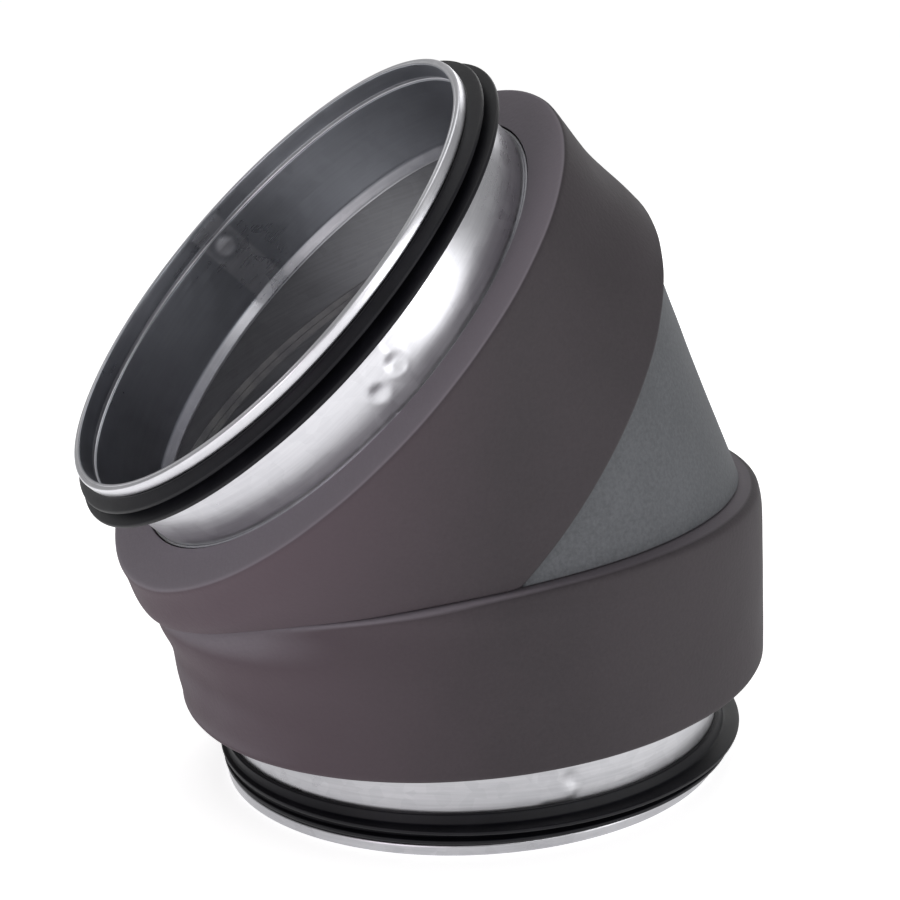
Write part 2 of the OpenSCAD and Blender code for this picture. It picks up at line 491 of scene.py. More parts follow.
class Sheet(NodeMaker):
    """The nodes of one material."""

    def __init__(self, name: str) -> None:
        """Starts a material with a Principled shader."""
        self.material = bpy.data.materials.new(name)
        self.material.use_nodes = True
        self.tree = self.material.node_tree
        self.tree.nodes.clear()
        self.shader = self.node("ShaderNodeBsdfPrincipled")
        output = self.node("ShaderNodeOutputMaterial")
        self.tree.links.new(self.shader.outputs[0], output.inputs["Surface"])

    def place(self, turn: float = 0.0, stretch: Colour = (1.0, 1.0, 1.0)) -> Value:
        """Object coordinates, turned about Y so that a leg's axis is Z, then stretched.

        Args:
            turn: Angle to turn by.
            stretch: Scale along each axis after the turn.

        Returns:
            The coordinates.
        """
        own = self.node("ShaderNodeTexCoord")
        turned = self.node(
            "ShaderNodeMapping",
            inputs={"Vector": Value(self, own.outputs["Object"]), "Rotation": (0.0, turn, 0.0)},
        )
        scaled = self.node(
            "ShaderNodeVectorMath",
            {"operation": "MULTIPLY"},
            {0: Value(self, turned.outputs[0]), 1: stretch},
        )
        return Value(self, scaled.outputs[0])

    def facing(self, turn: float) -> Value:
        """How squarely the surface faces along a leg's axis, outwards.

        Args:
            turn: Tilt of the leg.

        Returns:
            The cosine of the angle between the two.
        """
        own = self.node("ShaderNodeTexCoord")
        made = self.node(
            "ShaderNodeVectorMath",
            {"operation": "DOT_PRODUCT"},
            {0: Value(self, own.outputs["Normal"]), 1: (-math.sin(turn), 0.0, math.cos(turn))},
        )
        return Value(self, made.outputs["Value"])

    def grain(self, place: Value, scale: float, detail: float = 2.0, rough: float = 0.5) -> Value:
        """Soft noise from zero to one.

        Args:
            place: Coordinates.
            scale: Number of features in a metre.
            detail: Octaves.
            rough: Strength of the finer octaves.

        Returns:
            The noise.
        """
        made = self.node(
            "ShaderNodeTexNoise",
            inputs={"Vector": place, "Scale": scale, "Detail": detail, "Roughness": rough},
        )
        return Value(self, made.outputs["Fac"])

    def cells(self, place: Value, scale: float, what: str = "Distance") -> Value:
        """Voronoi cells: their distance or their colour."""
        made = self.node("ShaderNodeTexVoronoi", inputs={"Vector": place, "Scale": scale})
        return Value(self, made.outputs[what])

    def parts(self, vector: Value) -> tuple[Value, Value, Value]:
        """The three numbers of a vector or colour."""
        made = self.node("ShaderNodeSeparateXYZ", inputs={0: vector})
        return tuple(Value(self, made.outputs[i]) for i in range(3))

    def mix(self, share: Value, first: Any, second: Any) -> Value:
        """Mixes two colours.

        Args:
            share: Share of the second colour.
            first: A colour or a link.
            second: A colour or a link.

        Returns:
            The mixed colour.
        """
        ends = [(*c, 1.0) if isinstance(c, tuple) else c for c in (first, second)]
        made = self.node(
            "ShaderNodeMix", {"data_type": "RGBA"}, {0: share, 6: ends[0], 7: ends[1]}
        )
        return Value(self, made.outputs[2])

    def bump(self, height: Value, strength: float, distance: float) -> Value:
        """A normal from a height."""
        made = self.node(
            "ShaderNodeBump",
            inputs={"Height": height, "Strength": strength, "Distance": distance},
        )
        return Value(self, made.outputs[0])

    def dress(self, links: dict[str, Value], fixed: dict[str, Any]) -> bpy.types.Material:
        """Links varying values and sets constant ones on the shader's own sockets.

        Args:
            links: Varying values by socket.
            fixed: Constant values by socket.

        Returns:
            The material.
        """
        for key, value in links.items():
            self.tree.links.new(value.socket, self.shader.inputs[key])
        for key, value in fixed.items():
            self.shader.inputs[key].default_value = value
        return self.material


@dataclass(frozen=True)
class Galvanised:
    """Zinc-coated sheet: a fine spangle, faint brushing round the duct and dull patches."""

    name: str
    dark: Colour
    light: Colour
    turn: float = 0.0
    smooth: float = 0.27
    dull: float = 0.40
    spangle: float = 260.0
    fleck_tone: float = 0.1
    brushing: float = 0.35
    # Painted shade: a darker colour for a collar's inside wall, which lies in shade; axis_x and
    # wall_r place that wall.
    inner: Colour | None = None
    axis_x: float = 0.0
    wall_r: float = 0.0

    def material(self) -> bpy.types.Material:
        """Builds the material."""
        sheet = Sheet(self.name)
        place = sheet.place(self.turn)
        streaks = sheet.grain(sheet.place(self.turn, (1.0, 1.0, 26.0)), 42.0, 4.0, 0.6)
        patches = sheet.grain(place, 17.0, 1.0, 0.4)
        fleck, _, _ = sheet.parts(sheet.cells(place, self.spangle, "Color"))
        fine = sheet.grain(place, 2200.0, 2.0)
        tone = patches * 0.45 + streaks * 0.45 + (fleck - 0.5) * self.fleck_tone + 0.05
        share = tone.step(0.15, 0.85)
        colour = sheet.mix(share, self.dark, self.light)
        # Painted shade: the inside wall takes the darker inner colour, while the outer face and the
        # flared lip at the inner end keep the outer colour.
        if self.inner is not None:
            x, y, _ = sheet.parts(place)
            radius = ((x - self.axis_x) ** 2 + y**2) ** 0.5
            outside = radius.step(self.wall_r - 0.2 * MM, self.wall_r + 0.1 * MM)
            lip = 1.0 - radius.step(self.wall_r - 0.65 * MM, self.wall_r - 0.4 * MM)
            inner = sheet.mix(share, self.inner, tuple(c * 1.2 for c in self.inner))
            colour = sheet.mix(outside + lip, inner, colour)
        matt = patches.step(0.1, 0.9) * (self.dull - self.smooth) + self.smooth
        matt = matt + (streaks - 0.5) * self.brushing * 0.25 + (fleck - 0.5) * 0.03
        relief = streaks * self.brushing + fleck * 0.03 + fine * 0.1
        links = {
            "Base Color": colour,
            "Roughness": matt,
            "Normal": sheet.bump(relief, 0.35, 0.00012),
        }
        return sheet.dress(links, {"Metallic": 1.0})


@dataclass(frozen=True)
class CellularRubber:
    """Closed-cell rubber with a matt skin: fine pits, soft mottling, and painted light that makes
    the foam lighter and purplish towards -X.
    """

    name: str
    deep: Colour
    pale: Colour
    # Painted light: a lighter, purplish colour laid on the foam towards -X.
    painted_left_light: Colour
    cut: Colour | None = None
    cut_turn: float = 0.0
    speckle: float = 0.5
    # Painted light: the x where that colour stops, and the width of its fade.
    painted_light_edge: float = -0.05
    painted_light_reach: float = 0.09

    def material(self) -> bpy.types.Material:
        """Builds the material."""
        sheet = Sheet(self.name)
        place = sheet.place()
        mottle = sheet.grain(place, 55.0, 3.0, 0.6)
        cloud = sheet.grain(place, 13.0, 2.0, 0.5)
        fine = sheet.grain(place, 900.0, 3.0, 0.65)
        pits = sheet.cells(place, 720.0)
        tone = mottle * 0.45 + cloud * 0.45 + (fine - 0.5) * self.speckle + 0.05
        colour = sheet.mix(tone.step(0.1, 0.9), self.deep, self.pale)
        across, _, _ = sheet.parts(place)
        # Painted light: the foam turns lighter and purplish towards -X, the side that the fill lamp
        # lights.
        painted_light_share = 1.0 - across.step(self.painted_light_edge - self.painted_light_reach, self.painted_light_edge)
        colour = sheet.mix(painted_light_share * 0.75, colour, self.painted_left_light)
        if self.cut is not None:
            colour = sheet.mix(sheet.facing(self.cut_turn).step(0.55, 0.9), colour, self.cut)
        relief = pits * 0.35 + fine * 0.5 + mottle * 0.6
        links = {
            "Base Color": colour,
            "Roughness": 0.78 + (mottle - 0.5) * 0.22 + (fine - 0.5) * 0.12,
            "Normal": sheet.bump(relief, 0.45, 0.00035),
        }
        return sheet.dress(links, {"Specular IOR Level": 0.35})


@dataclass(frozen=True)
class MouldedRubber:
    """Solid black rubber with a satin skin and a little dust."""

    name: str
    black: Colour = (0.003, 0.003, 0.005)
    dusty: Colour = (0.008, 0.008, 0.011)

    def material(self) -> bpy.types.Material:
        """Builds the material."""
        sheet = Sheet(self.name)
        place = sheet.place()
        dust = sheet.grain(place, 60.0, 4.0, 0.65)
        fine = sheet.grain(place, 1600.0, 2.0)
        links = {
            "Base Color": sheet.mix(dust.step(0.4, 0.8), self.black, self.dusty),
            "Roughness": 0.42 + dust * 0.2 + (fine - 0.5) * 0.08,
            "Normal": sheet.bump(fine * 0.4 + dust * 0.6, 0.25, 0.0001),
        }
        return sheet.dress(links, {"Specular IOR Level": 0.22})


@dataclass(frozen=True)
class Smear:
    """Mastic or glue laid by hand: uneven in tone, gloss and height."""

    name: str
    thin: Colour
    thick: Colour
    gloss: float = 0.5

    def material(self) -> bpy.types.Material:
        """Builds the material."""
        sheet = Sheet(self.name)
        place = sheet.place()
        strokes = sheet.grain(place, 130.0, 3.0, 0.6)
        fine = sheet.grain(place, 900.0, 2.0)
        links = {
            "Base Color": sheet.mix(strokes.step(0.3, 0.7), self.thin, self.thick),
            "Roughness": self.gloss + (strokes - 0.5) * 0.25,
            "Normal": sheet.bump(strokes * 0.8 + fine * 0.2, 0.5, 0.0003),
        }
        return sheet.dress(links, {})


# ---- Collars ----------------------------------------------------------------------------------


class End(Enum):
    """The elbow's two ends."""

    LOWER = "lower"
    UPPER = "upper"


@dataclass(frozen=True)
class Dimple:
    """A shallow dent in a collar, with a raised lip round it."""

    azimuth: float
    depth: float
    radius: float
    sink: float


@dataclass
class Collar:
    """A push-in collar: a folded rim, a ridge under the seal, a lap and two spot welds.

    The inner end flares inwards.
    """

    end: End
    leg: Leg
    inner_r: float
    sheet_t: float = 0.7 * MM
    length: float = 36.0 * MM
    rim_rise: float = 1.7 * MM
    rim_len: float = 3.4 * MM
    ridge_at: float = 6.3 * MM
    ridge_w: float = 2.4 * MM
    ridge_rise: float = 0.6 * MM
    flare: float = 1.1 * MM
    lap_azimuth: float = math.radians(-97)
    lap_half_w: float = math.radians(3.2)
    lap_rise: float = 0.28 * MM
    lap_start: float = 13.4 * MM
    seam_azimuth: float = math.radians(84)
    seam_half_w: float = math.radians(4)
    seam_rise: float = 0.18 * MM
    ripple: float = 0.07 * MM
    segments: int = 600

    def dimples(self) -> tuple[Dimple, ...]:
        """The dents that the spot welds of the lap leave."""
        return (
            Dimple(math.radians(-94), 19.9 * MM, 2.6 * MM, 0.55 * MM),
            Dimple(math.radians(-100), 22.3 * MM, 2.4 * MM, 0.45 * MM),
            Dimple(math.radians(84), 11.5 * MM, 3.0 * MM, 0.35 * MM),
        )

    def outline(self) -> Outline:
        """The collar's section as radius and depth."""
        r_in, r_out = self.inner_r, self.inner_r + self.sheet_t
        rim_r = r_out + self.rim_rise
        ridge_low = self.ridge_at - self.ridge_w / 2
        ridge_high = self.ridge_at + self.ridge_w / 2
        crest = r_out + self.ridge_rise
        t = self.sheet_t
        return rounded(
            [
                Corner(r_in, 0.0, 0.55 * MM),
                Corner(r_out + 0.1 * MM, 0.0, 0.1 * MM),
                Corner(r_out + 0.2 * MM, 0.15 * MM, 0.1 * MM),
                Corner(r_out + 0.3 * MM, 0.0, 0.1 * MM),
                Corner(rim_r, 0.0, 1.2 * MM),
                Corner(rim_r, self.rim_len, 1.2 * MM),
                Corner(r_out, self.rim_len, 0.15 * MM),
                Corner(r_out, ridge_low, 0.4 * MM),
                Corner(crest, ridge_low + 0.4 * MM, 0.4 * MM),
                Corner(crest, ridge_high - 0.4 * MM, 0.4 * MM),
                Corner(r_out, ridge_high, 0.4 * MM, 26),
                Corner(r_out, self.length - 1.2 * MM, 0.5 * MM),
                Corner(r_out - 0.5 * MM, self.length, 0.25 * MM),
                Corner(r_in - self.flare, self.length, 0.35 * MM),
                Corner(r_in - self.flare, self.length - 0.9 * MM, 0.8 * MM),
                Corner(r_in, self.length - 4.6 * MM, 2.6 * MM, 26),
                Corner(r_in, ridge_high - 0.35 * MM, 0.3 * MM),
                Corner(crest - t, self.ridge_at + 0.5 * MM, 0.3 * MM),
                Corner(crest - t, self.ridge_at - 0.5 * MM, 0.3 * MM),
                Corner(r_in, ridge_low + 0.35 * MM, 0.3 * MM, 3),
            ],
            steps=3,
        )

    def shape(self, radius: float, azimuth: float, depth: float) -> float:
        """Radius of a point of the collar once its lap, welds and unevenness are worked in.

        Args:
            radius: The swept radius.
            azimuth: Angle from the outside of the bend.
            depth: Distance from the rim.

        Returns:
            The shaped radius.
        """
        outer = radius > self.inner_r + self.sheet_t / 2
        free = self.lap_start < depth < self.length - 1.3 * MM
        off_lap = abs(wrapped(azimuth - self.lap_azimuth))
        if outer and free:
            radius += self.lap_rise * fade(off_lap, self.lap_half_w, math.radians(1.0))
        off_seam = abs(wrapped(azimuth - self.seam_azimuth))
        on_seam = fade(off_seam, self.seam_half_w, math.radians(1.5))
        if not outer and depth < self.length - 2 * MM:
            groove = max(0.0, radius - self.inner_r)
            radius -= on_seam * groove * 0.9
            radius -= on_seam * self.seam_rise * (1.0 if depth > 1.0 * MM else 0.0)
        for dimple in self.dimples():
            arc = wrapped(azimuth - dimple.azimuth) * self.inner_r
            far = math.hypot(arc, depth - dimple.depth) / dimple.radius
            if far < 2.6:
                radius -= dimple.sink * math.exp(-(far**2) * 1.6)
                radius += 0.25 * dimple.sink * math.exp(-((far - 1.4) ** 2) * 6)
        ripple = noise.noise(Vector((math.cos(azimuth), math.sin(azimuth), depth * 9)) * 2.3)
        if depth > self.lap_start:
            radius += self.ripple * ripple * min(1.0, (depth - self.lap_start) / (4 * MM))
        return radius

    def build(self, sweep: RingSweep, steel: bpy.types.Material) -> bpy.types.Object:
        """Makes the collar.

        Args:
            sweep: The ring sweep.
            steel: The collar's finish.

        Returns:
            The collar.
        """
        name = f"{self.end.value}_collar_shell"
        piece = sweep.sweep(name, self.outline(), self.segments, steel)
        reshape(piece, self.shape)
        place_on(piece, self.leg)
        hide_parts(f"{self.end.value}_collar")
        finish_piece(piece)
        return piece


@dataclass
class LipSeal:
    """A black rubber seal on a collar: a foot and two lips that lean inwards."""

    end: End
    leg: Leg
    collar_r: float
    start: float = 3.5 * MM
    width: float = 9.4 * MM
    foot_t: float = 1.5 * MM
    lip_rise: float = 7.3 * MM
    lip_land: float = 0.8 * MM
    lip_lean: float = 1.7 * MM
    lip_pitch: float = 3.8 * MM
    lip_root: float = 1.8 * MM
    lip_lifts: tuple[float, float] = (-1.7 * MM, 0.6 * MM)
    ridge_at: float = 6.3 * MM
    ridge_half: float = 1.25 * MM
    press_azimuth: float = 0.0
    press: float = 0.0
    wave: float = 0.35 * MM
    segments: int = 256

    def outline(self) -> Outline:
        """The seal's section as radius and depth."""
        foot_in = self.collar_r + 0.05 * MM
        foot_out = self.collar_r + self.foot_t
        end = self.start + self.width
        corners = [Corner(foot_in, self.start, 0.2 * MM), Corner(foot_out, self.start, 0.15 * MM)]
        for index, lift in enumerate(self.lip_lifts):
            root = self.start + 0.3 * MM + index * self.lip_pitch
            tip = self.collar_r + self.lip_rise + lift
            corners += [
                Corner(foot_out, root, 0.3 * MM, 2),
                Corner(tip, root + self.lip_lean - 0.3 * MM, 0.9 * MM),
                Corner(tip, root + self.lip_lean + self.lip_land, 0.5 * MM, 2),
                Corner(foot_out + 1.2 * MM, root + self.lip_root + 0.8 * MM, 0.8 * MM),
            ]
        crest = foot_in + 0.65 * MM
        corners += [
            Corner(foot_out, end, 0.5 * MM),
            Corner(foot_in, end, 0.2 * MM),
            Corner(foot_in, self.ridge_at + self.ridge_half, 0.3 * MM),
            Corner(crest, self.ridge_at + self.ridge_half - 0.3 * MM, 0.3 * MM),
            Corner(crest, self.ridge_at - self.ridge_half + 0.3 * MM, 0.3 * MM),
            Corner(foot_in, self.ridge_at - self.ridge_half, 0.3 * MM),
        ]
        return rounded(corners)

    def shape(self, radius: float, azimuth: float, depth: float) -> float:
        """Radius of a point of the seal once its lips are pressed in and uneven.

        Args:
            radius: The swept radius.
            azimuth: Angle from the outside of the bend.
            depth: Distance from the rim.

        Returns:
            The shaped radius.
        """
        foot_out = self.collar_r + self.foot_t
        share = max(0.0, (radius - foot_out) / (self.lip_rise - self.foot_t))
        wave = noise.noise(Vector((math.cos(azimuth), math.sin(azimuth), depth * 40)))
        turn = wrapped(azimuth - self.press_azimuth)
        return radius - share * (self.press * math.exp(-(turn**2)) + self.wave * (wave + 0.4))

    def build(self, sweep: RingSweep, rubber: bpy.types.Material) -> bpy.types.Object:
        """Makes the seal.

        Args:
            sweep: The ring sweep.
            rubber: The seal's finish.

        Returns:
            The seal.
        """
        name = f"{self.end.value}_lip_seal_ring"
        piece = sweep.sweep(name, self.outline(), self.segments, rubber)
        reshape(piece, self.shape)
        place_on(piece, self.leg)
        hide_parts(f"{self.end.value}_lip_seal")
        finish_piece(piece)
        return piece


# ---- Insulation -------------------------------------------------------------------------------


@dataclass(frozen=True)
class Edge:
    """A band's edge: a plane across the leg.

    It crosses the axis at a depth, and its tilt makes it deeper towards the outside of the bend.
    """

    depth: float
    tilt: float

    def depth_at(self, offset: float) -> float:
        """Depth of the edge at an offset towards the outside of the bend."""
        return self.depth + offset * math.tan(self.tilt)


@dataclass(frozen=True)
class Sag:
    """A soft hollow in a band's face, or a swelling where the depth is negative."""

    azimuth: float
    depth_at: float
    sink: float
    half_turn: float
    half_len: float

    def pull(self, azimuth: float, depth: float) -> float:
        """How far the face sinks at a place."""
        turn = wrapped(azimuth - self.azimuth) / self.half_turn
        along = (depth - self.depth_at) / self.half_len
        return self.sink * math.exp(-(turn**2) - along**2)


@dataclass(frozen=True)
class WrapSizes:
    """Sizes that the three foam pieces share."""

    duct_r: float = 80.8 * MM
    band_r: float = 95.3 * MM
    gore_r: float = 90.3 * MM
    wall_play: float = 0.1 * MM
    flange_r: float = 84.9 * MM
    flange_half: float = 1.3 * MM
    part_line: float = 0.45 * MM
    lower_start: Edge = Edge(31.0 * MM, math.radians(2.4))
    lower_end: Edge = Edge(85.5 * MM, math.radians(3.0))
    throat_cut: Edge = Edge(92.1 * MM, math.radians(13.7))
    upper_start: Edge = Edge(30.1 * MM, 0.0)
    upper_end: Edge = Edge(83.2 * MM, math.radians(-6.0))
    glue_azimuth: float = math.radians(100)
    glue_half: float = 0.34 * MM
    crown_blend: float = 2.4 * MM
    wide_wave: float = 0.55 * MM
    small_wave: float = 0.12 * MM
    band_spans: int = 300
    gore_spans: int = 200


class Wrap:
    """The insulation: two bands and the gore between them."""

    def __init__(self, bend: Bend, sizes: WrapSizes) -> None:
        """Keeps the bend and the sizes."""
        self.bend = bend
        self.sizes = sizes
        self.mitre_tilt = bend.angle / 4
        self.gore_leg = bend.gore()

    def lower_top(self, offset: float) -> float:
        """Height of the lower band's top edge.

        The band is cut nearly square to the leg, and more steeply on the inside of the bend.
        """
        square = self.sizes.lower_end.depth_at(offset)
        throat = self.sizes.throat_cut.depth_at(offset)
        return soft_min(square, throat, self.sizes.crown_blend)

    def above_lower(self, point: Vector) -> float:
        """How far a point stands above the lower band's top edge."""
        return point.z - self.lower_top(point.x) - self.sizes.part_line

    def upper_limit(self, radius: float, azimuth: float) -> float:
        """Depth at which the upper band stops: its own cut or the lower band."""
        leg, sizes = self.bend.upper, self.sizes
        own = sizes.upper_end.depth_at(radius * math.cos(azimuth))
        met = zero_of(lambda s: self.above_lower(leg.at(radius, azimuth, s)), 0.05, 0.1)
        return soft_min(own, met, 0.4 * MM)

    def lower_limit(self, radius: float, azimuth: float) -> float:
        """Height at which the lower band stops."""
        return self.lower_top(radius * math.cos(azimuth))

    def wall(self, leg: Leg, azimuth: float, depth: float) -> float:
        """Radius of the band's inner wall beyond the mitre, where the duct leans away.

        Args:
            leg: The band's leg.
            azimuth: Angle from the outside of the bend.
            depth: Distance from the rim.

        Returns:
            The wall's radius from the leg's axis.
        """
        lean = self.bend.angle / 2
        past = depth - (leg.length - self.bend.corner_to_mitre)
        s, c = math.sin(lean), math.cos(lean)
        across = math.cos(azimuth)
        square = 1 - (across * s) ** 2
        linear = 2 * past * across * s * c
        rest = (past * s) ** 2 - self.sizes.duct_r**2
        return (-linear + math.sqrt(linear**2 - 4 * square * rest)) / (2 * square)

    def band_section(
        self,
        leg: Leg,
        azimuth: float,
        start: Edge,
        limit: Callable[[float, float], float],
        round_end: float,
        trim: float,
    ) -> Outline:
        """The section of a band at an azimuth, as radius and depth.

        Args:
            leg: The band's leg.
            azimuth: Angle from the outside of the bend.
            start: The band's edge next to the collar.
            limit: Rule for the band's other edge.
            round_end: Radius of that edge's rounding.
            trim: How far the face is drawn in.

        Returns:
            The section's outline.
        """
        sizes = self.sizes
        inner = sizes.duct_r + sizes.wall_play
        outer = sizes.band_r - trim
        x = math.cos(azimuth)
        end_out = limit(outer, azimuth)
        mitre = leg.length - self.bend.corner_to_mitre
        seam = mitre + sizes.flange_r * x * math.tan(self.mitre_tilt)
        low, high = seam - sizes.flange_half, seam + sizes.flange_half
        end_in = limit(inner, azimuth)
        top_r = self.wall(leg, azimuth, end_in) + sizes.wall_play
        end_in = max(limit(top_r, azimuth), high + 0.4 * MM)
        seam_r = self.wall(leg, azimuth, high) + sizes.wall_play
        return rounded(
            [
                Corner(inner, start.depth_at(inner * x), 0.3 * MM, 4),
                Corner(outer, start.depth_at(outer * x), 1.7 * MM, 36),
                Corner(outer, end_out, round_end, 4),
                Corner(top_r, end_in, 0.3 * MM, 2),
                Corner(seam_r, high, 0.1 * MM),
                Corner(sizes.flange_r, high, 0.1 * MM),
                Corner(sizes.flange_r, low, 0.1 * MM),
                Corner(inner, low, 0.1 * MM, 6),
            ],
            steps=6,
        )

    def azimuths(self, count: int) -> list[tuple[float, float]]:
        """Azimuths from one side of the glued joint to the other, each with its edge trim."""
        sizes = self.sizes
        half = sizes.glue_half / sizes.band_r
        first, last = sizes.glue_azimuth + half, sizes.glue_azimuth + math.tau - half
        near = [0.0, 0.25 * MM, 0.6 * MM, 1.1 * MM, 1.8 * MM]
        trims = [0.75 * MM, 0.42 * MM, 0.16 * MM, 0.04 * MM, 0.0]
        turns = [(first + d / sizes.band_r, t) for d, t in zip(near, trims)]
        ends = [(last - d / sizes.band_r, t) for d, t in zip(near, trims)]
        low, high = turns[-1][0], ends[-1][0]
        inside = [(low + (high - low) * i / count, 0.0) for i in range(1, count)]
        return turns + inside + ends[::-1]

    def uneven(self, point: Vector, height: float) -> float:
        """Small change of radius that makes the face hand-wrapped, from zero at the duct."""
        wide = noise.noise(point * 19.0 + Vector((3.1, 0.7, 5.2)))
        small = noise.noise(point * 75.0 + Vector((1.3, 8.4, 2.6)))
        return height * (self.sizes.wide_wave * wide + self.sizes.small_wave * small)

    def build_band(
        self,
        name: str,
        node: str,
        leg: Leg,
        start: Edge,
        limit: Callable[[float, float], float],
        round_end: float,
        sags: Sequence[Sag],
        foam: bpy.types.Material,
    ) -> bpy.types.Object:
        """Makes one band.

        Args:
            name: Name of the piece.
            node: The CAD node that it stands for.
            leg: The band's leg.
            start: The edge next to the collar.
            limit: Rule for the other edge.
            round_end: Radius of that edge's rounding.
            sags: Hollows and swellings of the face.
            foam: The band's finish.

        Returns:
            The band.
        """
        sizes = self.sizes
        depth = sizes.band_r - sizes.duct_r
        sections: list[list[Vector]] = []
        for azimuth, trim in self.azimuths(sizes.band_spans):
            section: list[Vector] = []
            for radius, along in self.band_section(leg, azimuth, start, limit, round_end, trim):
                share = max(0.0, (radius - sizes.duct_r - 0.45 * depth) / (0.55 * depth))
                height = share * share * (3 - 2 * min(share, 1.0))
                pull = sum(sag.pull(azimuth, along) for sag in sags) * height
                change = self.uneven(leg.at(radius, azimuth, along), height)
                section.append(leg.at(radius + change - pull, azimuth, along))
            sections.append(section)
        piece = loft(name, sections, closed=False)
        piece.data.materials.append(foam)
        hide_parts(node)
        finish_piece(piece)
        return piece

    def build_gore(self, foam: bpy.types.Material) -> bpy.types.Object:
        """Makes the gore, a thinner wedge that tapers out on both sides of the bend.

        Args:
            foam: The gore's finish.

        Returns:
            The gore.
        """
        leg, sizes, upper = self.gore_leg, self.sizes, self.bend.upper
        inner, outer = sizes.duct_r + sizes.wall_play, sizes.gore_r

        def low(radius: float, azimuth: float) -> float:
            """Start of the gore, on the lower band."""
            return zero_of(lambda t: self.above_lower(leg.at(radius, azimuth, t)), 0.0, 0.05)

        def high(radius: float, azimuth: float) -> float:
            """End of the gore, under the upper band."""

            def below(t: float) -> float:
                """How far a point lies beyond the upper band's edge."""
                point = leg.at(radius, azimuth, t)
                edge = sizes.upper_end.depth_at(upper.offset_of(point))
                return upper.depth_of(point) - edge - sizes.part_line

            return zero_of(below, 0.0, 0.05)

        reach = math.pi / 2
        while high(outer, reach) - low(outer, reach) > 0.6 * MM:
            reach += math.radians(0.25)
        spans = sizes.gore_spans
        sections: list[list[Vector]] = []
        for index in range(spans + 1):
            azimuth = reach * (2 * index / spans - 1)
            foot = low(inner, azimuth)
            corners = [
                Corner(inner, foot, 0.1 * MM, 3),
                Corner(outer, low(outer, azimuth), 0.5 * MM, 28),
                Corner(outer, high(outer, azimuth), 0.5 * MM, 3),
                Corner(inner, max(high(inner, azimuth), foot + 0.3 * MM), 0.1 * MM, 12),
            ]
            section: list[Vector] = []
            for radius, along in rounded(corners):
                height = max(0.0, (radius - inner) / (outer - inner))
                change = self.uneven(leg.at(radius, azimuth, along), height)
                section.append(leg.at(radius + change, azimuth, along))
            sections.append(section)
        piece = loft("gore_wrap", sections, closed=False)
        piece.data.materials.append(foam)
        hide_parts("gore_insulation")
        finish_piece(piece)
        return piece

    def build(
        self, band_foam: bpy.types.Material, gore_foam: bpy.types.Material
    ) -> list[bpy.types.Object]:
        """Makes the three pieces.

        Args:
            band_foam: Finish of the bands.
            gore_foam: Finish of the gore.

        Returns:
            The pieces.
        """
        sizes, bend = self.sizes, self.bend
        swells = (
            Sag(math.radians(-30), 92.0 * MM, 1.8 * MM, 0.5, 6.0 * MM),
            Sag(math.pi, 60.0 * MM, -5.2 * MM, 0.6, 9.5 * MM),
            Sag(math.radians(-126), 77.0 * MM, -0.8 * MM, 0.45, 3.5 * MM),
            Sag(math.radians(165), 29.0 * MM, 1.6 * MM, 0.6, 7.0 * MM),
        )
        lower = self.build_band(
            "lower_band_wrap", "lower_band", bend.lower, sizes.lower_start,
            self.lower_limit, 2.5 * MM, swells, band_foam,
        )
        hollows = (
            Sag(math.radians(-18), 53.0 * MM, 3.0 * MM, 0.85, 20.0 * MM),
            Sag(math.radians(-18), 76.0 * MM, 1.2 * MM, 0.8, 9.0 * MM),
            Sag(math.pi, 44.0 * MM, -6.2 * MM, 0.6, 9.5 * MM),
        )
        upper = self.build_band(
            "upper_band_wrap", "upper_band", bend.upper, sizes.upper_start,
            self.upper_limit, 1.3 * MM, hollows, band_foam,
        )
        return [lower, upper, self.build_gore(gore_foam)]


# ---- Shared steps -----------------------------------------------------------------------------


def wrapped(angle: float) -> float:
    """An angle brought to between minus and plus half a turn."""
    return (angle + math.pi) % math.tau - math.pi


def fade(distance: float, half_width: float, soft: float) -> float:
    """One within the half width, and zero once soft further out."""
    t = min(1.0, max(0.0, (half_width + soft - distance) / soft))
    return t * t * (3 - 2 * t)


def reshape(piece: bpy.types.Object, rule: Callable[[float, float, float], float]) -> None:
    """Moves the points of a ring that stands on the origin in or out.

    Args:
        piece: The ring.
        rule: Gives the new radius from a point's radius, azimuth and depth.
    """
    for vertex in piece.data.vertices:
        radius = math.hypot(vertex.co.x, vertex.co.y)
        azimuth = math.atan2(vertex.co.y, vertex.co.x)
        shaped = rule(radius, azimuth, vertex.co.z)
        vertex.co.x, vertex.co.y = shaped * math.cos(azimuth), shaped * math.sin(azimuth)


def place_on(piece: bpy.types.Object, leg: Leg) -> None:
    """Moves a piece made on the origin to its leg, by its mesh."""
    piece.data.transform(leg.matrix())
    tidy_mesh(piece.data)


def finish_piece(piece: bpy.types.Object) -> None:
    """Lets a piece ride on the elbow and reports it."""
    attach(piece, ROOT)
    log.info("%s: %d faces", piece.name, len(piece.data.polygons))


# ---- Steel and sealant that keep their CAD shape ----------------------------------------------


@dataclass
class BendCore:
    """The steel bend, its sealant and its glue, which keep the frame's shapes."""

    segments: tuple[str, ...] = ("lower_segment", "gore_segment", "upper_segment")
    mastic: tuple[str, ...] = (
        "lower_collar_sealant",
        "upper_collar_sealant",
        "lower_mitre_sealant",
        "upper_mitre_sealant",
    )
    films: tuple[str, ...] = ("lower_adhesive", "gore_adhesive", "upper_adhesive")
    joints: tuple[str, ...] = ("lower_glue_line", "upper_glue_line")

    def dress(self, finishes: dict[str, bpy.types.Material]) -> None:
        """Gives each node its finish.

        Args:
            finishes: Materials by finish name.
        """
        groups = {
            "duct": self.segments,
            "mastic": self.mastic,
            "film": self.films,
            "glue": self.joints,
        }
        for finish, names in groups.items():
            for name in names:
                mesh = frame["nodes"][name].data
                mesh.materials.clear()
                mesh.materials.append(finishes[finish])
                log.info("%s: finish %s", name, finish)


# ---- Studio -----------------------------------------------------------------------------------


